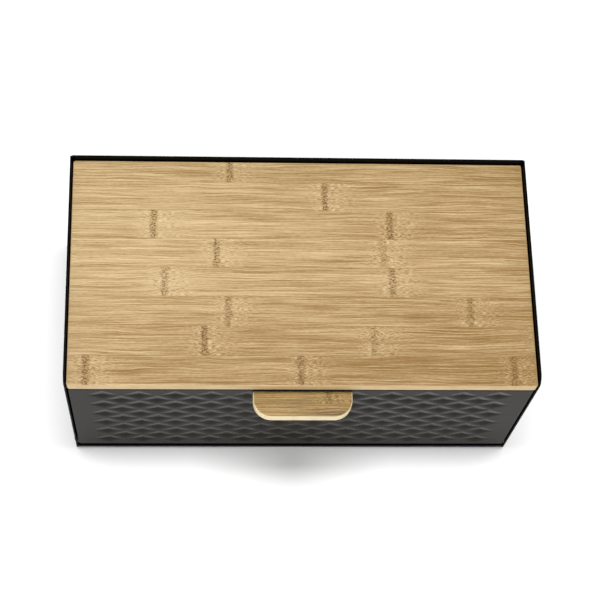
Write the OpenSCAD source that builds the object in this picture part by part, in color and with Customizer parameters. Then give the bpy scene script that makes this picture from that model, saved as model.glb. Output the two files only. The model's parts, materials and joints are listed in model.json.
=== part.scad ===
// Bread box with a drop-front door and a lift-off bamboo board for a lid.
// The origin is on the worktop, under the middle of the whole box with its pull;
// the door faces -Y.

/* [Shell] */
// Outer width of the shell, across the side panels
body_w = 400; // [320:1:500]
// Outer depth of the shell, front edge to back panel
body_d = 210; // [170:1:260]
// Height of the shell, base to rim
shell_h = 178; // [150:1:220]
// Thickness of the side and back panels
wall_t = 1.5; // [1.2:0.1:2.4]
// Thickness of the base sheet
base_t = 1.5; // [1.2:0.1:2.4]
// Radius of the side panels' top front corner
corner_r = 10; // [4:1:20]
// Height of the lip along the front of the base
lip_h = 6; // [5:0.5:9]
// Height of the base's side and rear flanges above its floor
base_flange_h = 9; // [7:0.5:14]
// Depth of the back panel's folded side flanges
back_flange = 13.5; // [10:0.5:20]

/* [Vents] */
// Radius of a vent hole in the back panel
vent_r = 3; // [2:0.5:4]
// Spacing of the vent holes
vent_pitch = 14; // [10:1:24]
// Vent holes in a row
vent_count = 9; // [3:1:13]

/* [Lid board] */
// Thickness of the bamboo board
board_t = 10; // [8:0.5:14]
// Height of the rim above the board
rim_h = 5; // [3:0.5:9]
// Gap between the board and each side panel
lid_gap = 1.1; // [0.6:0.1:3]
// Gap between the board and the back panel
lid_rear_gap = 1; // [0.6:0.1:3]
// How far the board stands out past the door's face
lid_overhang = 1.2; // [0:0.1:4]
// Radius of the board's front corners
board_front_r = 2.5; // [2:0.5:12]
// Radius of the board's rear corners
board_rear_r = 2; // [1:0.5:8]
// Thickness of the rest pads under the board
pad_t = 1; // [0.5:0.1:2]
// Radius of a rest pad
pad_r = 4.5; // [3:0.5:5]

/* [Ledges and rail] */
// Thickness of the ledge and rail sheet
ledge_t = 1.2; // [1:0.1:2]
// Width of the ledges and of the rail under the board
ledge_w = 12; // [10:0.5:18]
// Depth of the ledges' vertical leg
ledge_leg = 12; // [9:0.5:18]
// Depth of the front rail's vertical leg
rail_leg = 17; // [15:0.5:24]
// Gap between the closed door's inner lip and the rail
rail_gap = 1; // [0.8:0.1:2]

/* [Door] */
// Thickness of the door sheet
door_t = 1; // [0.8:0.1:1.6]
// Gap between the door and each side panel
door_gap = 1.2; // [1:0.1:2.5]
// Gap between the door and the base lip
door_foot_gap = 1; // [0.6:0.1:2]
// Gap between the door's top and the board
door_top_gap = 2.5; // [1.5:0.1:5]
// Depth of the door's folded side flanges and top return
door_fold = 14; // [12:0.5:20]
// Height of the lip folded down from the top return
door_lip = 14; // [10:0.5:20]
// Radius of the door's rounded lower edge, about the hinge axis
door_edge_r = 6; // [5:0.5:9]

/* [Diamond relief] */
// Width of one diamond cell
cell_w = 30.7; // [20:0.1:40]
// Height of one diamond cell
cell_h = 23.7; // [14:0.1:32]
// Share of its cell that a diamond fills
cell_fill = 0.88; // [0.7:0.01:0.95]
// Depth of the diamonds
relief_depth = 1.6; // [0.8:0.1:2.5]
// Least flat margin at the door's sides
relief_side = 12.5; // [8:0.5:30]
// Flat margin above the door's lower edge
relief_foot = 8.1; // [6:0.1:20]
// Least flat margin below the door's top
relief_top = 2.5; // [1:0.1:12]

/* [Hinge] */
// Radius of the hinge pins
pin_r = 2; // [1.5:0.1:3]
// Radial running clearance of a pin in its bush
run_clear = 0.06; // [0.03:0.01:0.1]
// Radial wall of a bush
bush_wall = 1.2; // [1:0.1:1.6]
// Thickness of a bush's flange
bush_flange_t = 1; // [0.6:0.1:2]
// Thickness of the hinge plates
plate_t = 1.5; // [1.2:0.1:2.5]
// Height of the hinge plates above the hinge axis
plate_h = 44; // [34:1:60]
// Opening angle at which the heels meet the stop studs
open_angle = 80; // [60:1:84]
// Angle of the heels below the horizontal, with the door shut
heel_angle = 46; // [40:1:50]
// Length of a heel from the hinge axis
heel_len = 12.5; // [11:0.5:13]
// Width of a heel
heel_w = 5; // [4:0.5:6]
// Radius of a stop stud
stud_r = 2.5; // [2:0.1:3]
// Distance of a stop stud from the hinge axis
stud_reach = 10.5; // [9.5:0.1:12]

/* [Pull] */
// Width of the bamboo pull
pull_w = 84; // [60:1:140]
// How far the pull stands out from the door
pull_d = 23; // [15:0.5:25]
// Thickness of the pull
pull_t = 10; // [7:0.5:14]
// Radius of the pull's front corners
pull_r = 15.5; // [6:0.5:18]
// Height of the door above the pull
pull_drop = 3.5; // [2:0.5:12]
// Distance between the pull's two screws
pull_screw_span = 44; // [30:1:60]

/* [Fasteners and feet] */
// Radius of a rivet's shank
rivet_r = 1.6; // [1.2:0.1:2]
// Radius of a rivet's head
rivet_head_r = 3; // [2.4:0.1:4]
// Height of a rivet's head
rivet_head_t = 1.2; // [0.8:0.1:1.6]
// Radial clearance of a fixed piece in its hole
seat_clear = 0.03; // [0.01:0.01:0.1]
// Radius of a screw's shank
screw_r = 1.9; // [1.5:0.1:2.2]
// Radius of a screw's head
screw_head_r = 3.6; // [3:0.1:4.4]
// Radius of a rubber foot
foot_r = 9; // [7:0.5:12]
// Height of a rubber foot
foot_h = 3; // [2:0.5:6]
// Distance of a foot's centre from the shell's sides and ends
foot_inset = 22; // [16:1:40]
// Radius of a magnet
magnet_r = 6; // [4:0.5:7]
// Distance of the magnets from the middle
magnet_x = 66; // [50:1:120]

/* [Hidden] */
$fn = 64;
in_x = body_w / 2 - wall_t;
mid_y = (pull_d - rivet_head_t) / 2;
front_y = mid_y - body_d / 2;
back_y = mid_y + body_d / 2;
in_back = back_y - wall_t;
z0 = foot_h;
floor_z = z0 + base_t;
flange_top = floor_z + base_flange_h;
rim_z = z0 + shell_h;
board_top = rim_z - rim_h;
board_under = board_top - board_t;
ledge_top = board_under - pad_t;

door_x = in_x - door_gap;
door_foot = z0 + lip_h + door_foot_gap;
door_top = board_under - door_top_gap;
hinge_y = front_y + door_edge_r;
hinge_z = door_foot + door_edge_r;
fold_y = front_y + door_fold;
plate_x = door_x - door_t;

rail_y = fold_y + rail_gap;
rail_back = rail_y + ledge_w;
rail_foot = ledge_top - rail_leg;
magnet_z = ledge_top - ledge_t - rail_leg / 2;
side_ledge_x = in_x - ledge_w;
side_ledge_y = rail_back + 1;
rear_ledge_y = in_back - ledge_w;

board_x = in_x - lid_gap;
board_front = front_y - lid_overhang;
board_back = in_back - lid_rear_gap;

relief_base = hinge_z + relief_foot - door_edge_r;
relief_cols = floor((2 * (door_x - relief_side)) / cell_w);
row_pitch = cell_h / 2;
relief_rows = floor((door_top - relief_top - relief_base - cell_h) / row_pitch) + 1;
relief_w = relief_cols * cell_w;
relief_h = (relief_rows - 1) * row_pitch + cell_h;

bush_r = pin_r + run_clear + bush_wall;
bush_flange_r = bush_r + 1.7;
pin_head_r = 2 * pin_r;
pin_head_t = 1.4;
pin_tail = 1;
stud_angle = open_angle - heel_angle + asin((stud_r + heel_w / 2 + 0.15) / stud_reach);
plate_rivet_z = [22, 38];
plate_waist = 16;
tail_r = 2.5;
tail_t = 0.8;

pull_top = door_top - pull_drop;
pull_z = pull_top - pull_t / 2;
pull_screw_len = 14;
screw_head_t = 2;
cross_w = 3.6;
cross_t = 0.8;
cross_depth = 0.9;
access_r = screw_head_r + 1;
bumper_r = 4;
bumper_t = 0.7;
bumper_x = 150;
magnet_proud = 0.5;
magnet_t = 5;
magnet_flange = 1.5;
flange_front = front_y + 24;
flange_back = in_back - back_flange - 1;

base_rivet_z = floor_z + base_flange_h / 2;
base_rivet_y = [flange_front + 12, mid_y, flange_back - 12];
back_rivet_z = [40, rail_foot / 2 + 14, rail_foot - 14];
ledge_rivet_z = ledge_top - ledge_t - ledge_leg / 2;
ledge_rivet_y = [side_ledge_y + 14, mid_y + 8, back_y - 14];
rear_rivet_x = [-body_w * 0.3, 0, body_w * 0.3];
pad_x = side_ledge_x + ledge_w / 2 - 0.5;
foot_x = body_w / 2 - foot_inset;
foot_front = front_y + foot_inset;
foot_back = back_y - foot_inset;

steel_black = [0.07, 0.07, 0.075];
steel_grey = [0.28, 0.28, 0.27];
zinc = [0.72, 0.73, 0.74];
bamboo = [0.80, 0.67, 0.47];
bamboo_pull = [0.71, 0.58, 0.39];
rubber = [0.12, 0.12, 0.12];
nylon = [0.12, 0.12, 0.12];
silicone = [0.90, 0.89, 0.85];

// A box between two opposite corners.
module block(low, high) {
    translate(low) cube(high - low);
}

// A piece drawn for the right side (side = 1), or mirrored for the left (-1).
module on_side(side) {
    mirror([side < 0 ? 1 : 0, 0, 0]) children();
}

// A cylinder along +X from x_low to x_high at a given Y and Z.
module rod_x(x_low, x_high, y, z, r) {
    translate([x_low, y, z]) rotate([0, 90, 0]) cylinder(r = r, h = x_high - x_low);
}

// A cylinder along +Y from y_low to y_high at a given X and Z.
module rod_y(y_low, y_high, x, z, r) {
    translate([x, y_high, z]) rotate([90, 0, 0]) cylinder(r = r, h = y_high - y_low);
}

// A rivet along -Z: its head stands on z = 0 and its tail closes a stack grip thick.
module rivet(grip) {
    cylinder(r1 = rivet_head_r, r2 = rivet_head_r * 0.6, h = rivet_head_t);
    translate([0, 0, -grip]) cylinder(r = rivet_r, h = grip + 0.2);
    translate([0, 0, -grip - tail_t]) cylinder(r = tail_r, h = tail_t);
}

// The crossed slots that a driver turns, cut down into a screw's head.
module driver_cross() {
    for (turn = [0, 90]) rotate(turn)
        translate([-cross_w / 2, -cross_t / 2, screw_head_t - cross_depth]) cube([cross_w, cross_t, 2]);
}

// A rivet set in the right side panel, with its head outside.
module side_rivet(y, z, grip) {
    translate([body_w / 2, y, z]) rotate([0, 90, 0]) rivet(grip);
}

// A plate outline drawn in the side view, as (distance back, height), lifted to x.
module side_plate(x_low, t) {
    translate([x_low, 0, 0]) rotate([90, 0, 90]) linear_extrude(t) children();
}

// A rectangle whose front and rear corners have their own radii.
module round_board(x, front, back, front_radius, rear_radius) {
    difference() {
        translate([-x, front]) square([2 * x, back - front]);
        for (side = [-1, 1]) {
            corner_bite(side * x, front, side, 1, front_radius);
            corner_bite(side * x, back, side, -1, rear_radius);
        }
    }
}

// What rounding a corner at (x, y) takes away; turn is 1 for a front corner.
module corner_bite(x, y, side, turn, r) {
    difference() {
        translate([x - (side > 0 ? r : 1), y - (turn > 0 ? 1 : r)]) square(r + 1);
        translate([x - side * r, y + turn * r]) circle(r = r);
    }
}

module base_tray() {
    color(steel_black) difference() {
        union() {
            block([-in_x, front_y, z0], [in_x, in_back, floor_z]);
            block([-in_x, front_y, z0], [in_x, front_y + base_t, z0 + lip_h]);
            block([-in_x + base_t, in_back - base_t, z0], [in_x - base_t, in_back, flange_top]);
            for (side = [-1, 1]) on_side(side)
                block([in_x - base_t, flange_front, z0], [in_x, flange_back, flange_top]);
        }
        for (side = [-1, 1], y = base_rivet_y) on_side(side)
            rod_x(in_x - base_t - 1, in_x + 1, y, base_rivet_z, rivet_r + seat_clear);
        for (x = rear_rivet_x)
            rod_y(in_back - base_t - 1, in_back + 1, x, base_rivet_z, rivet_r + seat_clear);
        for (x = [-foot_x, foot_x], y = [foot_front, foot_back])
            translate([x, y, z0 - 1]) cylinder(r = screw_r + seat_clear, h = base_t + 2);
    }
}

module side_panel() {
    color(steel_black) difference() {
        side_plate(in_x, wall_t) difference() {
            translate([front_y, z0]) square([body_d, shell_h]);
            difference() {
                translate([front_y - 1, rim_z - corner_r]) square(corner_r + 1);
                translate([front_y + corner_r, rim_z - corner_r]) circle(r = corner_r);
            }
        }
        rod_x(in_x - 1, in_x + wall_t + 1, hinge_y, hinge_z, pin_r + seat_clear);
        translate([0, hinge_y, hinge_z]) rotate([stud_angle, 0, 0]) translate([0, stud_reach, 0])
            rod_x(in_x - 1, in_x + wall_t + 1, 0, 0, rivet_r + seat_clear);
        for (y = base_rivet_y)
            rod_x(in_x - 1, in_x + wall_t + 1, y, base_rivet_z, rivet_r + seat_clear);
        for (z = back_rivet_z)
            rod_x(in_x - 1, in_x + wall_t + 1, in_back - back_flange / 2, z, rivet_r + seat_clear);
        for (y = concat(ledge_rivet_y, [rail_y + ledge_w / 2 + ledge_t / 2]))
            rod_x(in_x - 1, in_x + wall_t + 1, y, ledge_rivet_z, rivet_r + seat_clear);
    }
}

module left_side_panel() {
    on_side(-1) side_panel();
}

module right_side_panel() {
    on_side(1) side_panel();
}

module back_panel() {
    vent_z = rail_foot - 30;
    color(steel_black) difference() {
        union() {
            block([-in_x, in_back, z0], [in_x, back_y, rim_z]);
            for (side = [-1, 1]) on_side(side)
                block([in_x - wall_t, in_back - back_flange, flange_top + 1], [in_x, in_back, rail_foot]);
        }
        for (side = [-1, 1], z = back_rivet_z) on_side(side)
            rod_x(in_x - wall_t - 1, in_x + 1, in_back - back_flange / 2, z, rivet_r + seat_clear);
        for (x = rear_rivet_x, z = [base_rivet_z, ledge_rivet_z])
            rod_y(in_back - 1, back_y + 1, x, z, rivet_r + seat_clear);
        for (row = [0, 1], i = [0 : vent_count - 1 - row])
            rod_y(in_back - 1, back_y + 1, (i - (vent_count - 1 - row) / 2) * vent_pitch,
                vent_z - row * vent_pitch * 0.8, vent_r);
    }
}

module lid_ledge() {
    color(steel_black) difference() {
        union() {
            block([side_ledge_x, side_ledge_y, ledge_top - ledge_t], [in_x, in_back, ledge_top]);
            block([in_x - ledge_t, side_ledge_y, ledge_top - ledge_t - ledge_leg],
                [in_x, in_back, ledge_top]);
        }
        for (y = ledge_rivet_y)
            rod_x(in_x - ledge_t - 1, in_x + 1, y, ledge_rivet_z, rivet_r + seat_clear);
    }
}

module left_lid_ledge() {
    on_side(-1) lid_ledge();
}

module right_lid_ledge() {
    on_side(1) lid_ledge();
}

module rear_lid_ledge() {
    end_x = side_ledge_x - 0.5;
    color(steel_black) difference() {
        union() {
            block([-end_x, rear_ledge_y, ledge_top - ledge_t], [end_x, in_back, ledge_top]);
            block([-end_x, in_back - ledge_t, ledge_top - ledge_t - ledge_leg],
                [end_x, in_back, ledge_top]);
        }
        for (x = rear_rivet_x)
            rod_y(in_back - ledge_t - 1, in_back + 1, x, ledge_rivet_z, rivet_r + seat_clear);
    }
}

module front_top_rail() {
    color(steel_black) difference() {
        union() {
            block([-in_x, rail_y, ledge_top - ledge_t], [in_x, rail_back, ledge_top]);
            block([-in_x, rail_y, rail_foot], [in_x, rail_y + ledge_t, ledge_top]);
            for (side = [-1, 1]) on_side(side)
                block([in_x - ledge_t, rail_y, rail_foot], [in_x, rail_back, ledge_top]);
        }
        for (side = [-1, 1]) on_side(side)
            rod_x(in_x - ledge_t - 1, in_x + 1, rail_y + ledge_w / 2 + ledge_t / 2, ledge_rivet_z,
                rivet_r + seat_clear);
        for (x = [-magnet_x, magnet_x])
            rod_y(rail_y - 1, rail_y + ledge_t + 1, x, magnet_z, magnet_r + seat_clear);
    }
}

module door_magnets() {
    color(zinc) for (x = [-magnet_x, magnet_x]) {
        rod_y(rail_y - magnet_proud, rail_y + magnet_t - magnet_proud, x, magnet_z, magnet_r);
        rod_y(rail_y + ledge_t, rail_y + 2 * ledge_t, x, magnet_z, magnet_r + magnet_flange);
    }
}

module door_bumpers() {
    color(rubber) for (x = [-bumper_x, bumper_x])
        rod_y(rail_y - bumper_t, rail_y, x, magnet_z, bumper_r);
}

module hinge_pin() {
    color(steel_black) {
        rod_x(plate_x - plate_t - pin_tail, body_w / 2 + 0.2, hinge_y, hinge_z, pin_r);
        translate([body_w / 2, hinge_y, hinge_z]) rotate([0, 90, 0])
            cylinder(r1 = pin_head_r, r2 = pin_head_r * 0.65, h = pin_head_t);
    }
}

module left_hinge_pin() {
    on_side(-1) hinge_pin();
}

module right_hinge_pin() {
    on_side(1) hinge_pin();
}

module stop_stud() {
    color(steel_black) translate([0, hinge_y, hinge_z]) rotate([stud_angle, 0, 0])
        translate([0, stud_reach, 0]) {
            rod_x(plate_x - plate_t - 0.5, in_x, 0, 0, stud_r);
            rod_x(in_x - 0.2, body_w / 2 + 0.2, 0, 0, rivet_r);
            translate([body_w / 2, 0, 0]) rotate([0, 90, 0])
                cylinder(r1 = rivet_head_r, r2 = rivet_head_r * 0.6, h = rivet_head_t);
        }
}

module left_stop_stud() {
    on_side(-1) stop_stud();
}

module right_stop_stud() {
    on_side(1) stop_stud();
}

module base_rivets() {
    color(steel_black) {
        for (side = [-1, 1], y = base_rivet_y) on_side(side)
            side_rivet(y, base_rivet_z, wall_t + base_t);
        for (x = rear_rivet_x)
            translate([x, back_y, base_rivet_z]) rotate([-90, 0, 0]) rivet(wall_t + base_t);
    }
}

module back_rivets() {
    color(steel_black) for (side = [-1, 1], z = back_rivet_z) on_side(side)
        side_rivet(in_back - back_flange / 2, z, 2 * wall_t);
}

module ledge_rivets() {
    color(steel_black) {
        for (side = [-1, 1], y = concat(ledge_rivet_y, [rail_y + ledge_w / 2 + ledge_t / 2])) on_side(side)
            side_rivet(y, ledge_rivet_z, wall_t + ledge_t);
        for (x = rear_rivet_x)
            translate([x, back_y, ledge_rivet_z]) rotate([-90, 0, 0]) rivet(wall_t + ledge_t);
    }
}

module foot(x, y) {
    hole_floor = foot_h * 0.45;
    color(rubber) translate([x, y, 0]) difference() {
        cylinder(r1 = foot_r - 0.8, r2 = foot_r, h = foot_h);
        translate([0, 0, hole_floor]) cylinder(r = screw_r, h = foot_h);
    }
}

module front_left_foot() {
    foot(-foot_x, foot_front);
}

module front_right_foot() {
    foot(foot_x, foot_front);
}

module rear_left_foot() {
    foot(-foot_x, foot_back);
}

module rear_right_foot() {
    foot(foot_x, foot_back);
}

module foot_screws() {
    tip = foot_h * 0.5;
    color(zinc) for (x = [-foot_x, foot_x], y = [foot_front, foot_back]) translate([x, y, 0]) {
        translate([0, 0, tip]) cylinder(r = screw_r, h = floor_z - tip + 0.2);
        translate([0, 0, floor_z]) difference() {
            cylinder(r1 = screw_head_r, r2 = screw_head_r * 0.75, h = screw_head_t);
            driver_cross();
        }
    }
}

module lid_pads() {
    color(silicone) {
        for (side = [-1, 1], y = [mid_y - body_d * 0.24, mid_y + body_d * 0.12])
            translate([side * pad_x, y, ledge_top]) cylinder(r = pad_r, h = pad_t);
        for (x = [-body_w * 0.3, body_w * 0.3], y = [rail_y + ledge_w / 2, rear_ledge_y + ledge_w / 2 - 0.5])
            translate([x, y, ledge_top]) cylinder(r = pad_r, h = pad_t);
    }
}

// A diamond outline of the given width and height about the origin.
module diamond(w, h) {
    polygon([[-w / 2, 0], [0, -h / 2], [w / 2, 0], [0, h / 2]]);
}

// The diamonds' outlines in the front view; those that the pull would cover are left out.
module diamond_field() {
    for (row = [0 : relief_rows - 1]) {
        count = relief_cols - row % 2;
        z = relief_base + cell_h / 2 + row * row_pitch;
        for (i = [0 : count - 1]) {
            x = (i - (count - 1) / 2) * cell_w;
            hidden = abs(x) < pull_w / 2 && z + cell_h / 2 > pull_top - pull_t;
            if (!hidden) translate([x, z]) diamond(cell_w * cell_fill, cell_h * cell_fill);
        }
    }
}

// The door's side flange in the side view, cut back round the stop stud.
module flange_outline() {
    waist_y = hinge_y + 0.8;
    translate([front_y, hinge_z]) square([waist_y - front_y, plate_waist + 1]);
    translate([front_y, hinge_z + plate_waist]) square([door_fold, door_top - hinge_z - plate_waist]);
    translate([hinge_y, hinge_z]) circle(r = door_edge_r);
}

module door_panel() {
    back_t = relief_depth + door_t;
    hem_x = plate_x - plate_t - 4;
    color(steel_grey) difference() {
        union() {
            block([-door_x, front_y, hinge_z], [door_x, front_y + door_t, door_top]);
            block([-relief_w / 2, front_y, relief_base],
                [relief_w / 2, front_y + back_t, relief_base + relief_h]);
            block([-door_x, front_y, door_top - door_t], [door_x, fold_y, door_top]);
            block([-door_x, fold_y - door_t, door_top - door_lip], [door_x, fold_y, door_top]);
            for (side = [-1, 1]) on_side(side) side_plate(plate_x, door_t) flange_outline();
            intersection() {
                difference() {
                    rod_x(-door_x, door_x, hinge_y, hinge_z, door_edge_r);
                    rod_x(-plate_x, plate_x, hinge_y, hinge_z, door_edge_r - door_t);
                }
                block([-door_x, front_y, door_foot], [door_x, hinge_y, hinge_z]);
            }
            block([-hem_x, hinge_y, door_foot], [hem_x, hinge_y + 5, door_foot + door_t]);
        }
        translate([0, front_y + relief_depth, 0]) rotate([90, 0, 0])
            linear_extrude(relief_depth + 1) diamond_field();
        for (side = [-1, 1]) on_side(side) {
            rod_x(plate_x - 1, door_x + 1, hinge_y, hinge_z, bush_r + seat_clear);
            for (u = plate_rivet_z)
                rod_x(plate_x - 1, door_x + 1, hinge_y + 2, hinge_z + u, rivet_r + seat_clear);
        }
        for (x = [-pull_screw_span / 2, pull_screw_span / 2]) {
            rod_y(front_y - 1, front_y + back_t + 1, x, pull_z, screw_r + seat_clear);
            rod_y(fold_y - door_t - 1, fold_y + 1, x, pull_z, access_r);
        }
    }
}

module hinge_plate() {
    color(steel_black) difference() {
        side_plate(plate_x - plate_t, plate_t) translate([hinge_y, hinge_z]) {
            inner = door_edge_r - door_t;
            circle(r = inner - 0.05);
            translate([-inner, 0]) square([inner + 0.8, plate_waist + 1]);
            translate([-inner, plate_waist])
                square([inner + door_fold - door_edge_r - 1.5, plate_h - plate_waist]);
            rotate(-heel_angle) translate([0, -heel_w / 2]) square([heel_len, heel_w]);
        }
        rod_x(plate_x - plate_t - 1, plate_x + 1, hinge_y, hinge_z, bush_r + seat_clear);
        for (u = plate_rivet_z)
            rod_x(plate_x - plate_t - 1, plate_x + 1, hinge_y + 2, hinge_z + u, rivet_r + seat_clear);
    }
}

module left_hinge_plate() {
    on_side(-1) hinge_plate();
}

module right_hinge_plate() {
    on_side(1) hinge_plate();
}

module hinge_bush() {
    color(nylon) difference() {
        union() {
            rod_x(plate_x - plate_t, door_x + 0.2, hinge_y, hinge_z, bush_r);
            rod_x(door_x, door_x + bush_flange_t, hinge_y, hinge_z, bush_flange_r);
        }
        rod_x(plate_x - plate_t - 1, door_x + bush_flange_t + 1, hinge_y, hinge_z, pin_r + run_clear);
    }
}

module left_hinge_bush() {
    on_side(-1) hinge_bush();
}

module right_hinge_bush() {
    on_side(1) hinge_bush();
}

module hinge_plate_rivets() {
    color(steel_black) for (side = [-1, 1], u = plate_rivet_z) on_side(side)
        translate([door_x, hinge_y + 2, hinge_z + u]) rotate([0, 90, 0]) {
            cylinder(r = rivet_head_r * 0.9, h = 0.5);
            translate([0, 0, -door_t - plate_t]) cylinder(r = rivet_r, h = door_t + plate_t + 0.2);
            translate([0, 0, -door_t - plate_t - tail_t]) cylinder(r = tail_r, h = tail_t);
        }
}

module door_pull() {
    color(bamboo_pull) difference() {
        translate([0, 0, pull_top - pull_t]) linear_extrude(pull_t)
            round_board(pull_w / 2, front_y - pull_d, front_y, pull_r, 0.01);
        for (x = [-pull_screw_span / 2, pull_screw_span / 2])
            rod_y(front_y - pull_screw_len, front_y + 1, x, pull_z, screw_r);
    }
}

module pull_screws() {
    head_y = front_y + relief_depth + door_t;
    color(zinc) for (x = [-pull_screw_span / 2, pull_screw_span / 2]) {
        rod_y(front_y - pull_screw_len + 1, head_y + 0.2, x, pull_z, screw_r);
        translate([x, head_y, pull_z]) rotate([-90, 0, 0]) difference() {
            cylinder(r1 = screw_head_r, r2 = screw_head_r * 0.75, h = screw_head_t);
            driver_cross();
        }
    }
}

module lid_board() {
    color(bamboo) translate([0, 0, board_under]) linear_extrude(board_t)
        round_board(board_x, board_front, board_back, board_front_r, board_rear_r);
}

base_tray();
left_side_panel();
right_side_panel();
back_panel();
left_lid_ledge();
right_lid_ledge();
rear_lid_ledge();
front_top_rail();
door_magnets();
door_bumpers();
left_hinge_pin();
right_hinge_pin();
left_stop_stud();
right_stop_stud();
base_rivets();
back_rivets();
ledge_rivets();
front_left_foot();
front_right_foot();
rear_left_foot();
rear_right_foot();
foot_screws();
lid_pads();
door_panel();
left_hinge_plate();
right_hinge_plate();
left_hinge_bush();
right_hinge_bush();
hinge_plate_rivets();
door_pull();
pull_screws();
lid_board();
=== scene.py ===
"""A bread box: black steel shell, diamond-embossed drop-front door, bamboo pull and bamboo lid board."""

import json
import math

import bpy
import numpy as np
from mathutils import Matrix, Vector


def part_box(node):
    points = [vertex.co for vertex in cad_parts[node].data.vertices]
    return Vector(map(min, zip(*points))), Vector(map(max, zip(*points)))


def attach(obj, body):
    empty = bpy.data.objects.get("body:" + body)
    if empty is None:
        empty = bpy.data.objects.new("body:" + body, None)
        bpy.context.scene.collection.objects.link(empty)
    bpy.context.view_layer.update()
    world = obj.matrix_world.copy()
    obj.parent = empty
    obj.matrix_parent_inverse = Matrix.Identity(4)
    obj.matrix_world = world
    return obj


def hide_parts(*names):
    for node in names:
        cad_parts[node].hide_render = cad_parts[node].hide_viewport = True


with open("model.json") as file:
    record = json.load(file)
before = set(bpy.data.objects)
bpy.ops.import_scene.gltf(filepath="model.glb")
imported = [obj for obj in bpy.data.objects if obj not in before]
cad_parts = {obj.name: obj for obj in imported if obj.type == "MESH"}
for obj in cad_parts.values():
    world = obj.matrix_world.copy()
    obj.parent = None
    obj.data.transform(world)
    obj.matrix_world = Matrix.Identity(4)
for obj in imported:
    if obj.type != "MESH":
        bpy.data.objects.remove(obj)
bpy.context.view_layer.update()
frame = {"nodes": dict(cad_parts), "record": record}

# --- Feet -----------------------------------------------------------------------------------
# Four black rubber buttons, moulded with a rounded rim and screwed under the base, which lift
# the sheet steel off the worktop.

class Field:
    """A value that varies over a surface. Arithmetic on it adds Math nodes to its material."""

    def __init__(self, tree, socket=None):
        self.tree = tree
        self.socket = socket

    def node(self, kind, settings=None, inputs=None, out=0):
        """Add a node of this kind, set it up, feed its sockets by name or number, give one output."""
        made = self.tree.nodes.new(kind)
        for name, value in (settings or {}).items():
            if name == "stops":
                self.lay_stops(made.color_ramp, *value)
            else:
                setattr(made, name, value)
        for name, value in (inputs or {}).items():
            if isinstance(value, Field):
                self.tree.links.new(value.socket, made.inputs[name])
            else:
                made.inputs[name].default_value = value
        return Field(self.tree, made.outputs[out])

    def lay_stops(self, ramp, interpolation, pairs):
        """Set a ramp's interpolation and its stops, which are (position, colour) pairs."""
        ramp.interpolation = interpolation
        for _ in pairs[2:]:
            ramp.elements.new(0.5)
        for element, (position, colour) in zip(ramp.elements, pairs):
            element.position = position
            element.color = (*colour, 1.0)

    def out(self, number):
        """Another output of the node that this value comes from."""
        return Field(self.tree, self.socket.node.outputs[number])

    def maths(self, operation, *others):
        """A Math node on this value and the others, in order."""
        return self.node("ShaderNodeMath", {"operation": operation}, dict(enumerate((self, *others))))

    def __add__(self, other):
        return self.maths("ADD", other)

    __radd__ = __add__

    def __sub__(self, other):
        return self.maths("SUBTRACT", other)

    def __rsub__(self, other):
        return self.node("ShaderNodeMath", {"operation": "SUBTRACT"}, {0: other, 1: self})

    def __mul__(self, other):
        return self.maths("MULTIPLY", other)

    __rmul__ = __mul__

    def __truediv__(self, other):
        return self.maths("DIVIDE", other)

    def ease(self, low, high):
        """0 where this value is at low, 1 at high, with a smooth step between; low may be the larger."""
        limits = {"Value": self, "From Min": low, "From Max": high}
        return self.node("ShaderNodeMapRange", {"interpolation_type": "SMOOTHSTEP"}, limits)

    def blend(self, first, second):
        """The colour first where this value is 0 and second where it is 1."""
        return self.node("ShaderNodeMix", {"data_type": "RGBA"}, {0: self, 6: first, 7: second}, out=2)

    def noise(self, place, scale, detail=2.0, roughness=0.5, distortion=0.0):
        """Smooth noise at a place in millimetres, with about scale features in each of them."""
        inputs = {"Vector": place, "Scale": scale, "Detail": detail,
                  "Roughness": roughness, "Distortion": distortion}
        return self.node("ShaderNodeTexNoise", None, inputs)

    def at(self, x, y, z):
        """A place put together from three values."""
        return self.node("ShaderNodeCombineXYZ", None, {0: x, 1: y, 2: z})

    def bump(self, height, depth, strength=1.0):
        """The surface normal with a height from 0 to 1 raised by depth metres."""
        return self.node("ShaderNodeBump", None, {"Strength": strength, "Distance": depth, "Height": height})


def new_finish(name):
    """A new material, with its shader and a Field that its patterns start from."""
    material = bpy.data.materials.new(name)
    material.use_nodes = True
    shader = material.node_tree.nodes["Principled BSDF"]
    return material, shader, Field(material.node_tree)


def millimetres(start):
    """The place on the piece, as a vector in millimetres."""
    metres = start.node("ShaderNodeTexCoord", out="Object")
    return start.node("ShaderNodeVectorMath", {"operation": "SCALE"}, {0: metres, "Scale": 1000.0})


def feed(start, shader, **links):
    """Link values to the shader's sockets; a socket's spaces are written as underscores."""
    for name, value in links.items():
        start.tree.links.new(value.socket, shader.inputs[name.replace("_", " ")])


def rubber_finish():
    """Matte moulded rubber with a faint mottle and a fine matte grain."""
    material, shader, start = new_finish("rubber")
    place = millimetres(start)
    mottle = start.noise(place, 0.35, 3.0)
    grain = start.noise(place, 3.0, 2.0)
    feed(start, shader,
         Base_Color=mottle.blend((0.012, 0.012, 0.012, 1), (0.024, 0.023, 0.022, 1)),
         Roughness=0.72 + mottle * 0.16,
         Normal=start.bump(grain, 0.00004))
    shader.inputs["Specular IOR Level"].default_value = 0.3
    return material


def circle_loop(x, y, r, count=48):
    """Points evenly round a circle, and the outward direction at each."""
    angle = np.linspace(0, 2 * np.pi, count, endpoint=False)
    out = np.stack([np.cos(angle), np.sin(angle)], 1)
    return np.array([x, y]) + r * out, out


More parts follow.
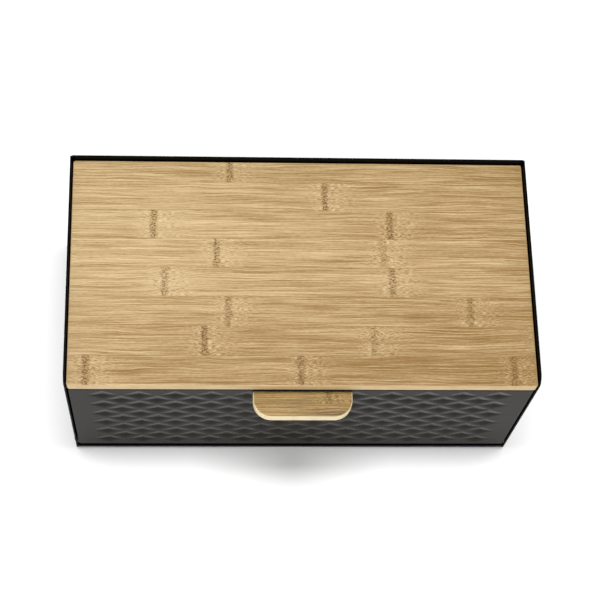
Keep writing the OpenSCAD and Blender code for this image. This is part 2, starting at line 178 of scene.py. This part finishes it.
def rounded_plate(loop, out, levels):
    """A closed plate: each level is the loop drawn in by an inset, at a height, and flat ends close it.

    Returns the points as (along the loop's plane a, b, height) and the faces, wound outwards.
    """
    inset, height = np.array(levels, float).T
    ring = loop[None] - inset[:, None, None] * out[None]
    tall = np.broadcast_to(height[:, None, None], (*ring.shape[:2], 1))
    points = np.concatenate([ring, tall], 2).reshape(-1, 3)
    rows, count = ring.shape[:2]
    row, col = np.meshgrid(np.arange(rows - 1), np.arange(count), indexing="ij")
    here = row * count + col
    right = row * count + (col + 1) % count
    sides = np.stack([here, right, right + count, here + count], 2).reshape(-1, 4).tolist()
    bottom = list(range(count - 1, -1, -1))
    top = list(range((rows - 1) * count, rows * count))
    return points, [*sides, bottom, top]


def edge_levels(low, high, radius, steps=4):
    """Levels from low to high with both edges rounded by a quarter circle of this radius."""
    angle = np.linspace(0, np.pi / 2, steps + 1)
    inset = radius * (1 - np.sin(angle))
    rise = radius * (1 - np.cos(angle))
    lower = list(zip(inset, low + rise))
    upper = [(i, high + low - h) for i, h in reversed(lower)]
    return lower + upper


def make_piece(name, parts, material, body, replaced=(), sharp=40.0):
    """One mesh object from (points, faces) parts in metres, shaded smooth except at sharp edges."""
    points = np.concatenate([p for p, _ in parts])
    starts = np.cumsum([0] + [len(p) for p, _ in parts])
    faces = [[i + start for i in face] for (_, group), start in zip(parts, starts) for face in group]
    mesh = bpy.data.meshes.new(name)
    mesh.from_pydata(points.tolist(), [], faces)
    mesh.polygons.foreach_set("use_smooth", np.ones(len(faces), bool))
    mesh.update()
    mesh.set_sharp_from_angle(angle=math.radians(sharp))
    mesh.materials.append(material)
    piece = bpy.data.objects.new(name, mesh)
    bpy.context.scene.collection.objects.link(piece)
    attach(piece, body)
    if replaced:
        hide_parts(*replaced)
    return piece


rubber = rubber_finish()
foot_rim = 0.0008
foot_draft = 0.0004

for corner in ("front_left", "front_right", "rear_left", "rear_right"):
    low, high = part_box(corner + "_foot")
    middle = (low + high) / 2
    loop, out = circle_loop(middle.x, middle.y, (high.x - low.x) / 2)
    levels = edge_levels(low.z, high.z, foot_rim)
    draft = [(i + foot_draft * (high.z - h) / (high.z - low.z), h) for i, h in levels]
    make_piece(corner + "_rubber_foot", [rounded_plate(loop, out, draft)], rubber, "box",
               [corner + "_foot"])


# --- Base -----------------------------------------------------------------------------------
# One sheet of steel folded up at the front into the lip that stands under the door, and at the
# back and sides into flanges for the rivets, powder coated black with the rest of the shell.

def powder_coat():
    """Black powder coat: deep black, nearly matt, finely orange-peeled, with faint rubbed areas."""
    material, shader, start = new_finish("black_powder_coat")
    place = millimetres(start)
    peel = start.noise(place, 1.1, 2.0, 0.55)
    speck = start.noise(place, 4.0, 1.0)
    rubbed = start.noise(place, 0.03, 4.0, 0.6).ease(0.45, 0.75)
    feed(start, shader,
         Base_Color=rubbed.blend((0.0006, 0.0005, 0.0005, 1), (0.0020, 0.0019, 0.0018, 1)),
         Roughness=0.44 + rubbed * 0.10 + speck * 0.06,
         Normal=start.bump(peel + speck * 0.35, 0.00003))
    shader.inputs["Specular IOR Level"].default_value = 0.05
    return material


def folded_strip(line, x_low, x_high, thick, turn=1.0):
    """A sheet folded along X: a line of (y, z) points carried from x_low to x_high, then thickened.

    Each point gets a partner at the sheet's thickness along the line's own normal, on the side
    that turn names. The two lines and their ends close into one ring, anticlockwise seen from +X,
    which is carried along X, and faces between partners close both its ends.
    """
    line = np.array(line, float)
    step = np.gradient(line, axis=0)
    step /= np.linalg.norm(step, axis=1, keepdims=True)
    inner = line + turn * thick * np.stack([step[:, 1], -step[:, 0]], 1)
    ring = np.concatenate([line, inner[::-1]])
    count = len(ring)
    area = np.sum(ring[:, 0] * np.roll(ring[:, 1], -1) - np.roll(ring[:, 0], -1) * ring[:, 1])
    if area < 0:
        ring = ring[::-1]
    points = np.concatenate([np.column_stack([np.full(count, x), ring]) for x in (x_low, x_high)])
    here = np.arange(count)
    right = (here + 1) % count
    sides = np.stack([here, right, right + count, here + count], 1)
    ladder = np.arange(count // 2 - 1)
    partner = count - 1 - ladder
    end = np.stack([ladder, ladder + 1, partner - 1, partner], 1)
    return points, np.concatenate([sides, end[:, ::-1], end + count]).tolist()


def bend(centre, radius, start, stop, steps=6):
    """Points round a fold: an arc about centre between two angles in degrees, seen in (y, z)."""
    angle = np.radians(np.linspace(start, stop, steps + 1))
    return [(centre[0] + radius * c, centre[1] + radius * s) for c, s in zip(np.cos(angle), np.sin(angle))]


powder_black = powder_coat()
tray_low, tray_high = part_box("base_tray")
sheet = 0.0015
fold_r = 0.0022
lip_top = 0.009
flange_x = tray_high.x - sheet
flange_front_gap = 0.024
flange_rear_gap = 0.0145
flange_y = (tray_low.y + flange_front_gap, tray_high.y - flange_rear_gap)
flange_foot_r = 0.0005
flange_top_r = 0.003
flange_edge_r = 0.0004

lip_and_floor = [
    (tray_low.y, lip_top),
    *bend((tray_low.y + fold_r, tray_low.z + fold_r), fold_r, 180, 270),
    *bend((tray_high.y - fold_r, tray_low.z + fold_r), fold_r, 270, 360),
    (tray_high.y, tray_high.z),
]


def rounded_loop(a_low, a_high, b_low, b_high, r_low, r_high, steps=6):
    """A rectangle's outline, anticlockwise, with its own corner radii at b_low and at b_high."""
    corners = [(a_high - r_low, b_low + r_low, r_low, -90),
               (a_high - r_high, b_high - r_high, r_high, 0),
               (a_low + r_high, b_high - r_high, r_high, 90),
               (a_low + r_low, b_low + r_low, r_low, 180)]
    return corner_loop(corners, steps)


def corner_loop(corners, steps=6):
    """An outline through rounded corners, each (centre a, centre b, radius, first angle)."""
    points, out = [], []
    for a, b, r, first in corners:
        angle = np.radians(np.linspace(first, first + 90, steps + 1))
        way = np.stack([np.cos(angle), np.sin(angle)], 1)
        points.append(np.array([a, b]) + r * way)
        out.append(way)
    return np.concatenate(points), np.concatenate(out)


def on_side_plane(part):
    """A plate drawn in (y, z) with its height along x, turned into the row frame."""
    points, faces = part
    return points[:, [2, 0, 1]], faces


def flange_strip(side):
    """A side flange of the base: an upright plate with rounded edges, just inside a side panel."""
    loop, out = rounded_loop(*flange_y, tray_low.z + sheet / 2, tray_high.z, flange_foot_r, flange_top_r)
    x_low = flange_x if side > 0 else -tray_high.x
    return on_side_plane(rounded_plate(loop, out, edge_levels(x_low, x_low + sheet, flange_edge_r, 2)))


base_parts = [folded_strip(lip_and_floor, tray_low.x, tray_high.x, sheet, -1.0),
              flange_strip(1), flange_strip(-1)]
make_piece("folded_base", base_parts, powder_black, "box", ["base_tray"])


# --- Side and back panels -------------------------------------------------------------------
# The side panels are flat steel with smoothed edges and a rounded top front corner; their tops
# and the back panel's stand above the board as a thin rim. The back keeps its drilled vents.

side_corner_r = 0.010
plain_corner_r = 0.0012
panel_edge_r = 0.0006


def side_sheet(node):
    """A side panel's outline in (y, z), rounded most at its top front corner, one sheet thick."""
    low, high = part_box(node)
    r = plain_corner_r
    corners = [(high.y - r, low.z + r, r, -90),
               (high.y - r, high.z - r, r, 0),
               (low.y + side_corner_r, high.z - side_corner_r, side_corner_r, 90),
               (low.y + r, low.z + r, r, 180)]
    loop, out = corner_loop(corners, 12)
    return on_side_plane(rounded_plate(loop, out, edge_levels(low.x, high.x, panel_edge_r, 3)))


for side in ("left", "right"):
    node = side + "_side_panel"
    make_piece(side + "_side_sheet", [side_sheet(node)], powder_black, "box", [node])


def dress(material, *names):
    """Give carried CAD nodes a finish."""
    for name in names:
        node = frame["nodes"][name]
        for held in node.material_slots:
            held.material = material


dress(powder_black, "back_panel", "left_lid_ledge", "right_lid_ledge", "rear_lid_ledge", "front_top_rail")


# --- Rivets, pins and studs -----------------------------------------------------------------
# Black plated steel with domed heads on the outside of the shell. Each head is set where the
# solid rivet's head is; its shank and tail are turned in one with it.

def black_plate():
    """Black zinc plate: dark, a little shiny, with a faint cloudy variation."""
    material, shader, start = new_finish("black_zinc_plate")
    place = millimetres(start)
    cloud = start.noise(place, 0.8, 3.0)
    feed(start, shader,
         Base_Color=cloud.blend((0.010, 0.010, 0.011, 1), (0.022, 0.022, 0.023, 1)),
         Roughness=0.30 + cloud * 0.18,
         Normal=start.bump(start.noise(place, 5.0), 0.00001))
    shader.inputs["Specular IOR Level"].default_value = 0.4
    return material


plate_black = black_plate()
solid_gap = 0.006
side_from = 0.15
head_share = 0.42
head_limit = 0.0014
crown_share = 0.12
pin_from = 0.006
pin_shank = 0.5
rivet_shank = 0.55
tail_taper = 0.2


def turned(profile, place, axis, count=28):
    """A turned piece: a profile of (radius, height) pairs spun about an axis through a place."""
    loop, out = circle_loop(0, 0, 1.0, count)
    levels = [(1.0 - r, h) for r, h in profile]
    points, faces = rounded_plate(loop, out, levels)
    turn = Vector((0, 0, 1)).rotation_difference(Vector(axis)).to_matrix()
    return points @ np.array(turn).T + np.array(place), faces


def dome_profile(head_r, head_t, shank_r, grip, steps=6):
    """From the shank's tapered end up to a domed head: the dome is a quarter of an ellipse."""
    angle = np.linspace(0, np.pi / 2, steps + 1)[:-1]
    dome = [(head_r * math.cos(a), head_t * math.sin(a)) for a in angle]
    taper = shank_r * tail_taper
    return [(shank_r - taper, -grip), (shank_r, -grip + taper), (shank_r, 0.0),
            *dome, (head_r * crown_share, head_t)]


def solid_boxes(node):
    """The box of each separate solid of a node: its vertices are grouped by the gaps between them."""
    mesh = frame["nodes"][node].data
    co = np.zeros(len(mesh.vertices) * 3)
    mesh.vertices.foreach_get("co", co)
    groups = [co.reshape(-1, 3)]
    for axis in (0, 1, 2, 0, 1, 2):
        smaller = []
        for group in groups:
            group = group[np.argsort(group[:, axis])]
            cuts = np.flatnonzero(np.diff(group[:, axis]) > solid_gap) + 1
            smaller += np.split(group, cuts)
        groups = smaller
    return [(g.min(0), g.max(0)) for g in groups]


def riveted(name, node, body):
    """Domed rivets or pins where a node's solids are, with their heads outside the box.

    Solids far from the middle go through a side panel and the others through the back.
    """
    parts = []
    for low, high in solid_boxes(node):
        middle = (low + high) / 2
        through_side = abs(middle[0]) > side_from
        axis = (math.copysign(1.0, middle[0]), 0, 0) if through_side else (0, 1, 0)
        along = 0 if through_side else 1
        outer = (high if axis[along] > 0 else low)[along]
        length = high[along] - low[along]
        head_r = (high[2] - low[2]) / 2
        head_t = min(head_limit, head_r * head_share)
        place = middle.copy()
        place[along] = outer - axis[along] * head_t
        shank_r = head_r * (pin_shank if length > pin_from else rivet_shank)
        parts.append(turned(dome_profile(head_r, head_t, shank_r, length - head_t), place, axis))
    make_piece(name, parts, plate_black, body, [node], sharp=50.0)


for node in ("base_rivets", "back_rivets", "ledge_rivets", "left_hinge_pin", "right_hinge_pin"):
    riveted("domed_" + node, node, "box")
dress(plate_black, "left_stop_stud", "right_stop_stud", "left_hinge_plate", "right_hinge_plate",
      "hinge_plate_rivets")


# --- Small fittings -------------------------------------------------------------------------
# Bright zinc magnets and screws, black nylon bushes, silicone rest pads and rubber bumpers,
# inside the box or under it.

def split(place):
    """The x, y and z of a place."""
    x = place.node("ShaderNodeSeparateXYZ", None, {0: place})
    return x, x.out(1), x.out(2)


def zinc_plate():
    """Bright zinc plate: brushed fine lines along X over a cloudy, slightly blue grey."""
    material, shader, start = new_finish("bright_zinc_plate")
    place = millimetres(start)
    x, y, z = split(place)
    brushed = start.noise(start.at(x * 0.2, y * 6.0, z * 6.0), 1.0, 3.0)
    cloud = start.noise(place, 0.25, 3.0)
    feed(start, shader,
         Base_Color=cloud.blend((0.50, 0.51, 0.52, 1), (0.66, 0.66, 0.65, 1)),
         Roughness=0.28 + brushed * 0.22,
         Normal=start.bump(brushed, 0.00001))
    shader.inputs["Metallic"].default_value = 1.0
    return material


def moulded(name, dark, light, rough):
    """A plain moulded plastic or silicone: a faint mottle, and a fine moulded grain."""
    material, shader, start = new_finish(name)
    place = millimetres(start)
    mottle = start.noise(place, 0.5, 3.0)
    feed(start, shader,
         Base_Color=mottle.blend((*dark, 1), (*light, 1)),
         Roughness=rough + mottle * 0.12,
         Normal=start.bump(start.noise(place, 4.0), 0.00001))
    return material


nylon = moulded("nylon", (0.012, 0.012, 0.012), (0.022, 0.022, 0.021), 0.42)
silicone = moulded("silicone", (0.50, 0.50, 0.47), (0.60, 0.59, 0.55), 0.55)
dress(zinc_plate(), "door_magnets", "foot_screws", "pull_screws")
dress(nylon, "left_hinge_bush", "right_hinge_bush")
dress(silicone, "lid_pads")
dress(rubber, "door_bumpers")


# --- Door -----------------------------------------------------------------------------------
# Thin steel pressed with rows of soft-edged diamonds, then folded: flanges back at the sides, a
# rounded lower edge about the hinge, and a return with a lip along the top. Dark grey enamel.

def door_enamel():
    """Satin dark grey enamel, slightly warm and finely grained.

    Where the sheet faces down a painted reflection makes its colour paler and its clear coat
    heavier, and where it faces up painted shade makes its colour darker and its coat thinner.
    """
    material, shader, start = new_finish("dark_grey_enamel")
    place = millimetres(start)
    # painted light: down-facing facets get a painted reflection and up-facing facets painted shade, in
    # colour and in clear coat
    tilt = start.node("ShaderNodeAttribute", {"attribute_name": "faces_down"}, out="Fac")
    painted_reflection_down = tilt.ease(0.1, 1.0)
    up = tilt.ease(-0.1, -1.0)
    cloud = start.noise(place, 0.02, 4.0, 0.6)
    grain = start.noise(place, 2.2, 2.0)
    # the cloud term is the enamel's own mottle; the terms for down- and up-facing facets are painted
    # reflection and painted shade
    tone = 0.18 + painted_reflection_down * 0.55 - up * 0.2 + cloud * 0.12
    feed(start, shader,
         Base_Color=tone.blend((0.0105, 0.0092, 0.0068, 1), (0.043, 0.039, 0.030, 1)),
         Roughness=0.42 + grain * 0.08 + cloud * 0.06,
         Coat_Weight=0.24 + painted_reflection_down * 0.36 - up * 0.09 + cloud * 0.04,
         Normal=start.bump(grain, 0.00001))
    shader.inputs["Specular IOR Level"].default_value = 0.0
    shader.inputs["Coat Roughness"].default_value = 0.22
    shader.inputs["Coat IOR"].default_value = 1.5
    return material


door_low, door_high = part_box("door_panel")
pull_low, pull_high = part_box("door_pull")
hinge = frame["record"]["behaviour"]["joints"][0]["pos_m"]
hinge_y, hinge_z = hinge[1], hinge[2]
door_sheet = 0.001
edge_r = hinge_y - door_low.y
flat_from = 0.004
side_fold_r = 0.0016
top_fold_r = 0.0018
waist = 0.0008
waist_top = hinge_z + 0.016
waist_blend = 0.002

cell_w, cell_h = 0.0307, 0.0237
diamond_fill = 0.93
diamond_depth = 0.0016
diamond_power = 1.4
diamond_soft = 0.0004
relief_foot = 0.0081
columns = 12
rows = 11
first_row_z = hinge_z - edge_r + relief_foot + cell_h / 2
slope_share = 1.25
relief_slope = slope_share * diamond_depth / (cell_h * diamond_fill / 2)
steps_across = 20
steps_up = 24


def diamond_press(x, z):
    """How deep the press sinks the sheet at (x, z).

    In its own cell a point's share s is 1 at the middle and 0 on the diamond's outline, by the sum
    of its sideways and up-and-down distances over the half sizes, with their kinks softened. The
    depth is s to a power, so that each diamond's slopes ease into the face. Cells alternate like
    bricks, row by row, and those that the pull would cover stay flat.
    """
    depth = np.zeros_like(x)
    for row in range(rows):
        middle_z = first_row_z + row * cell_h / 2
        shift = 0.0 if (columns - row % 2) % 2 else 0.5
        index = np.round(x / cell_w - shift) + shift
        reach = (columns - row % 2 - 1) / 2
        inside = np.abs(index) <= reach + 0.01
        clear_of_pull = (np.abs(index * cell_w) > pull_high.x) | (middle_z + cell_h / 2 < pull_low.z)
        across = np.hypot(x - index * cell_w, diamond_soft) / (cell_w * diamond_fill / 2)
        up = np.hypot(z - middle_z, diamond_soft) / (cell_h * diamond_fill / 2)
        share = 1.0 - across - up
        risen = np.clip(share, 0.0, 1.0) ** diamond_power
        cell = np.where(inside & clear_of_pull, risen, 0.0)
        depth = np.maximum(depth, cell)
    return diamond_depth * depth


def front_sheet():
    """The door's face and both side flanges as one grid, before it gets its thickness.

    A row runs at one height from the right flange's rear edge, round the fold, across the face,
    round the other fold and back along the left flange. Rows go up the rounded lower edge by
    angle, then up the flat face in equal steps, and the diamonds push the face inwards. The third
    result is each point's tilt: 1 where the face looks down as steeply as a diamond, -1 where up.
    """
    arc = np.radians(np.linspace(88, 0, 12, endpoint=False))
    low_z = hinge_z - edge_r * np.sin(arc)
    low_y = hinge_y - edge_r * np.cos(arc)
    step_z = cell_h / steps_up
    count_z = int(round((door_high.z - top_fold_r - hinge_z) / step_z)) + 1
    z = np.concatenate([low_z, np.linspace(hinge_z, door_high.z - top_fold_r, count_z)])
    face_y = np.concatenate([low_y, np.full(count_z, door_low.y)])

    disc = np.sqrt(np.clip(edge_r ** 2 - (z - hinge_z) ** 2, 0, None))
    narrow = hinge_y + np.maximum(np.where(z > hinge_z, waist, 0.0), disc)
    widen = np.clip((z - waist_top) / waist_blend + 0.5, 0, 1)
    widen = widen * widen * (3 - 2 * widen)
    rear_y = narrow + (door_high.y - narrow) * widen

    fold = np.minimum(side_fold_r, 0.45 * (rear_y - face_y))[:, None]
    angle = np.radians(np.linspace(0, 90, 7))[None]
    flange = np.linspace(0, 1, 9)[None, :-1]
    wall_y = rear_y[:, None] + (face_y[:, None] + fold - rear_y[:, None]) * flange
    fold_x = door_high.x - fold + fold * np.cos(angle)
    fold_y = face_y[:, None] + fold - fold * np.sin(angle)
    inner = columns * steps_across // 2
    steps = np.arange(inner, -1, -1) * cell_w / steps_across
    face_x = np.broadcast_to(steps, (len(z), len(steps)))
    margin = np.linspace(0, 1, 10)[None, 1:-1]
    margin_x = fold_x[:, -1:] + (steps[0] - fold_x[:, -1:]) * margin

    right_x = np.concatenate([np.full(wall_y.shape, door_high.x), fold_x, margin_x, face_x], 1)
    face_part = np.broadcast_to(face_y[:, None], (len(z), margin_x.shape[1] + face_x.shape[1]))
    right_y = np.concatenate([wall_y, fold_y, face_part], 1)
    x = np.concatenate([right_x, -right_x[:, -2::-1]], 1)
    y = np.concatenate([right_y, right_y[:, -2::-1]], 1)
    height = np.broadcast_to(z[:, None], x.shape)
    on_face = (np.abs(x) < door_high.x - flat_from) & (height > hinge_z)
    y = y + np.where(on_face, diamond_press(x, height), 0.0)
    points = np.stack([x, y, height], 2).reshape(-1, 3)
    tilt = -np.gradient(y, axis=0) / np.maximum(np.gradient(height, axis=0), 1e-6)
    tilt = np.where(on_face, tilt / relief_slope, 0.0).ravel()

    rows_up, across = x.shape
    row, col = np.meshgrid(np.arange(rows_up - 1), np.arange(across - 1), indexing="ij")
    here = row * across + col
    faces = np.stack([here, here + across, here + across + 1, here + 1], 2).reshape(-1, 4)
    return points, faces.tolist(), tilt


enamel = door_enamel()
face_points, face_faces, face_tilt = front_sheet()
face = make_piece("embossed_face", [(face_points, face_faces)], enamel, "door", ["door_panel"])
# the tilt stored here drives the enamel's painted reflection and painted shade
faces_down = face.data.attributes.new("faces_down", "FLOAT", "POINT")
faces_down.data.foreach_set("value", np.clip(face_tilt, -1, 1).astype(np.float32))
thicken = face.modifiers.new("sheet_thickness", "SOLIDIFY")
thicken.thickness = door_sheet
thicken.offset = -1.0

return_gap = 0.0003
return_x = door_high.x - door_sheet - return_gap
lip_h = 0.014
fold_lap = 0.0001
top_return = [
    (door_low.y, door_high.z - top_fold_r - fold_lap),
    *bend((door_low.y + top_fold_r, door_high.z - top_fold_r), top_fold_r, 180, 90),
    *bend((door_high.y - top_fold_r, door_high.z - top_fold_r), top_fold_r, 90, 0),
    (door_high.y, door_high.z - lip_h),
]
hem_gap = 0.0055
hem_x = return_x - hem_gap
hem_depth = 0.005
hem = [
    *bend((hinge_y, hinge_z), edge_r, 262, 270, 2),
    (hinge_y + hem_depth, door_low.z),
]
return_sheet = folded_strip(top_return, -return_x, return_x, door_sheet, 1.0)
hem_sheet = folded_strip(hem, -hem_x, hem_x, door_sheet, -1.0)
make_piece("door_top_return", [return_sheet], enamel, "door")
make_piece("door_lower_hem", [hem_sheet], enamel, "door")


# --- Pull -----------------------------------------------------------------------------------
# A D-shaped tab cut from bamboo board, sanded round at its edges and screwed on from inside the
# door. Its cut edges are paler than its oiled top, and their rounding carries a painted highlight.

pull_edge_r = 0.0012
pull_front_r = 0.0155
pull_rear_r = 0.0015
held_span = 500.0


def flat_plate(low, high, edge_r, front_r, rear_r):
    """A flat board between two corners, with rounded plan corners and rounded edges."""
    corners = [(high.x - front_r, low.y + front_r, front_r, -90),
               (high.x - rear_r, high.y - rear_r, rear_r, 0),
               (low.x + rear_r, high.y - rear_r, rear_r, 90),
               (low.x + front_r, low.y + front_r, front_r, 180)]
    loop, out = corner_loop(corners, 16)
    return rounded_plate(loop, out, edge_levels(low.z, high.z, edge_r))


def bamboo_finish(name, strips, rear_y, first_width, strip_width, tones):
    """Oiled side-grain bamboo: strips along X, each with its own tone, fibres and knuckles.

    strips holds, for each strip from the rear, the x of one knuckle in millimetres, the spacing of
    its knuckles and its tone from 0 to 1; a colour ramp holds them as shares of held_span. tones
    are the dark, light, knuckle and cut-edge colours; the cut-edge colour is the paler sanded
    edge and a painted highlight on its rounding. Fibres are noise drawn out along X, which curls
    and turns short round a knuckle, and a painted light gradient makes the wood paler towards -X.
    """
    dark, light, knuckle, cut_and_highlight = tones
    material, shader, start = new_finish(name)
    place = millimetres(start)
    x, y, z = split(place)

    wave = start.noise(start.at(x * 0.01, y * 0.05, 0.0), 1.0, 1.0) - 0.5
    back = rear_y - y + wave * 0.8
    count = len(strips)
    number = ((back - first_width) / strip_width + 1.0).maths("FLOOR")
    within = ((back - first_width) / strip_width).maths("FRACT")
    stops = [(i / count, (first / held_span + 0.5, space / held_span, tone))
             for i, (first, space, tone) in enumerate(strips)]
    held = start.node("ShaderNodeValToRGB", {"stops": ("CONSTANT", stops)}, {0: (number + 0.5) / count})
    own = start.node("ShaderNodeSeparateColor", None, {0: held})
    first = own * held_span - held_span / 2
    spacing = own.out(1) * held_span
    tone = own.out(2)

    curl = start.noise(start.at(x * 0.06, y * 0.25, number), 1.0, 3.0) - 0.5
    signed = (x - first + curl * 4.0).maths("WRAP", spacing / 2, spacing / -2)
    away = signed.maths("ABSOLUTE")
    strength = start.noise(start.at(x * 0.008, number * 9.0, 0.0), 1.0).ease(0.25, 0.6)
    line = away.ease(4.4, 1.2) * (0.35 + strength * 0.65)
    halo = signed.ease(-22.0, -2.0) * signed.ease(38.0, 5.0)

    seed = number * 37.0
    drift = start.noise(start.at(x * 0.012, y * 0.06, seed), 1.0, 2.0) - 0.5
    ripple = start.noise(start.at(x * 0.11, y * 0.16, seed), 1.0, 2.0) - 0.5
    across = y + drift * 6.0 + ripple * (0.7 + halo * 5.0)
    broad = start.noise(start.at(x * 0.006 + seed, across * 0.14, seed), 1.0, 2.0)
    fibre = start.noise(start.at(x * 0.010 + seed, across * 1.75, z * 0.2), 1.0, 3.0, 0.7)
    fine = start.noise(start.at(x * 0.028 + seed, across * 2.6, z * 0.6), 1.0, 2.0, 0.6)
    grain = start.noise(start.at(x * 0.22, y * 1.4, z + seed), 1.0, 2.0, 0.6)
    streak = start.noise(start.at(x * 0.008 - seed, across * 2.8, z * 0.2), 1.0, 2.0, 0.5)
    short = start.noise(start.at(x * 0.26 + seed, across * 2.1, z * 0.5), 1.0, 2.0, 0.6)
    speck = start.noise(start.at(x * 0.55, y * 0.8, z + seed), 1.0, 1.0, 0.5)

    straight = fibre.ease(0.36, 0.64) * 0.5 + fine.ease(0.36, 0.64) * 0.5
    mixed = straight + (short.ease(0.36, 0.63) - straight) * (halo * 0.75)
    dark_streak = streak.ease(0.55, 0.68) * (1.0 - halo * 0.8)
    shade = mixed * 0.68 + broad.ease(0.32, 0.68) * 0.13 + tone * 0.43 + (grain - 0.5) * 0.45
    # painted light: the - x * 0.00048 term paints a light gradient, the wood paler towards -X
    shade = shade + halo * 0.03 - dark_streak * 0.24 - x * 0.00048
    seam = within.maths("PINGPONG", 0.5).ease(0.024, 0.0)
    dots = line * speck.ease(0.47, 0.60)
    colour = shade.ease(0.10, 1.15).blend(dark, light)
    colour = (dots * 0.85 + line * 0.28).blend(colour, knuckle)
    colour = (seam * 0.35).blend(colour, dark)
    # the cut-edge colour is partly the paler sanded edge and partly a painted highlight on the edge rounding
    edge = start.node("ShaderNodeAttribute", {"attribute_name": "cut_edge"}, out="Fac")
    pale_and_highlight = edge * (0.74 + straight * 0.24)
    height = mixed * 0.6 + dots * -0.5 - seam * 0.5
    feed(start, shader,
         Base_Color=pale_and_highlight.blend(colour, cut_and_highlight),
         Roughness=0.52 - shade * 0.08 + dots * 0.15,
         Normal=start.bump(height, 0.00012, 0.5))
    shader.inputs["Specular IOR Level"].default_value = 0.2
    return material


def mark_cut_edge_and_highlight(piece, top_z, low_z, edge_r):
    """Store how far each point is down a cut edge: 0 on the flat faces, 1 on the upright sides."""
    mesh = piece.data
    co = np.zeros(len(mesh.vertices) * 3)
    mesh.vertices.foreach_get("co", co)
    z = co[2::3]
    depth = np.minimum(top_z - z, z - low_z)
    # this mask carries the paler cut-edge colour and a painted highlight over the edge rounding
    cut_and_highlight = np.clip(depth / edge_r * 2.0, 0, 1)
    mesh.attributes.new("cut_edge", "FLOAT", "POINT").data.foreach_set("value", cut_and_highlight.astype(np.float32))


# the last tone is the paler cut edge with a painted highlight
pull_tones = (
    (0.085, 0.043, 0.008, 1),
    (0.505, 0.335, 0.125, 1),
    (0.10, 0.052, 0.012, 1),
    (0.95, 0.80, 0.51, 1),
)
pull_strips = [(22, 420, 0.45), (-150, 460, 0.35)]
pull_bamboo = bamboo_finish("pull_bamboo", pull_strips, pull_high.y * 1000, 11.0, 14.0, pull_tones)
pull_plate = flat_plate(pull_low, pull_high, pull_edge_r, pull_front_r, pull_rear_r)
pull = make_piece("bamboo_pull", [pull_plate], pull_bamboo, "door", ["door_pull"])
mark_cut_edge_and_highlight(pull, pull_high.z, pull_low.z, pull_edge_r)


# --- Lid board ------------------------------------------------------------------------------
# Bamboo strips glued edge to edge, planed to 10 mm, with small rounded corners and sanded edges,
# then oiled. It lies loose on the ledges between the rims.

board_low, board_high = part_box("lid_board")
board_edge_r = 0.0010
board_front_r = 0.0025
board_rear_r = 0.002
# the last tone is the paler cut edge with a painted highlight
board_tones = (
    (0.205, 0.106, 0.018, 1),
    (0.634, 0.475, 0.265, 1),
    (0.150, 0.076, 0.015, 1),
    (0.69, 0.507, 0.271, 1),
)
board_strips = [
    (-61, 420, 0.38), (22, 400, 0.50), (-127, 205, 0.53), (-73, 144, 0.52),
    (-117, 195, 0.52), (-63, 207, 0.30), (-83, 143, 0.24), (-2, 180, 0.08),
]
board_bamboo = bamboo_finish("board_bamboo", board_strips, board_high.y * 1000, 20.0, 27.0, board_tones)
board_plate = flat_plate(board_low, board_high, board_edge_r, board_front_r, board_rear_r)
board = make_piece("bamboo_board", [board_plate], board_bamboo, "lid", ["lid_board"])
mark_cut_edge_and_highlight(board, board_high.z, board_low.z, board_edge_r)


# --- Studio ---------------------------------------------------------------------------------
# A plain white floor, a bright even surround, and a broad soft light overhead and behind, so
# that the box's soft shadow falls a little in front of it. A long lens looks steeply down on the
# lid from in front of the box and a little to its left.

def floor_finish():
    """Plain white paint, matte, with the faintest unevenness."""
    material, shader, start = new_finish("white_floor")
    place = millimetres(start)
    haze = start.noise(place, 0.002, 2.0)
    feed(start, shader, Base_Color=haze.blend((0.95, 0.95, 0.95, 1), (0.97, 0.97, 0.97, 1)))
    shader.inputs["Roughness"].default_value = 0.9
    shader.inputs["Specular IOR Level"].default_value = 0.0
    return material


floor_mesh = bpy.data.meshes.new("floor")
reach = 6.0
floor_mesh.from_pydata([(-reach, -reach, 0), (reach, -reach, 0), (reach, reach, 0), (-reach, reach, 0)], [],
                       [(0, 1, 2, 3)])
floor_mesh.materials.append(floor_finish())
floor = bpy.data.objects.new("floor", floor_mesh)
bpy.context.scene.collection.objects.link(floor)

world = bpy.data.worlds.new("surround")
world.use_nodes = True
world.node_tree.nodes["Background"].inputs["Color"].default_value = (1.0, 1.0, 1.0, 1.0)
world.node_tree.nodes["Background"].inputs["Strength"].default_value = 0.33
bpy.context.scene.world = world


def soft_light(name, place, size_x, size_y, watts):
    """A rectangular area light at a place, turned to the box."""
    light = bpy.data.lights.new(name, "AREA")
    light.shape = "RECTANGLE"
    light.size = size_x
    light.size_y = size_y
    light.energy = watts
    lamp = bpy.data.objects.new(name, light)
    lamp.location = place
    lamp.rotation_euler = (-Vector(place)).to_track_quat("-Z", "Y").to_euler()
    bpy.context.scene.collection.objects.link(lamp)


soft_light("overhead", (0.0, 0.12, 4.0), 2.4, 0.8, 139.0)
soft_light("front_fill", (-0.5, -2.6, 3.0), 1.6, 1.4, 50.0)

lens = bpy.data.cameras.new("camera")
lens.sensor_width = 36.0
lens.lens = 93.99
lens.shift_x = 0.04
lens.shift_y = 0.10
lens.clip_end = 50.0
camera = bpy.data.objects.new("camera", lens)
camera.location = (-0.0942, -0.5413, 1.4117)
camera.rotation_euler = (0.36113, -0.05293, -0.01605)
bpy.context.scene.collection.objects.link(camera)
bpy.context.scene.camera = camera

bpy.context.scene.view_settings.view_transform = "Standard"
bpy.context.scene.view_settings.look = "None"
bpy.context.scene.view_settings.exposure = 0.0
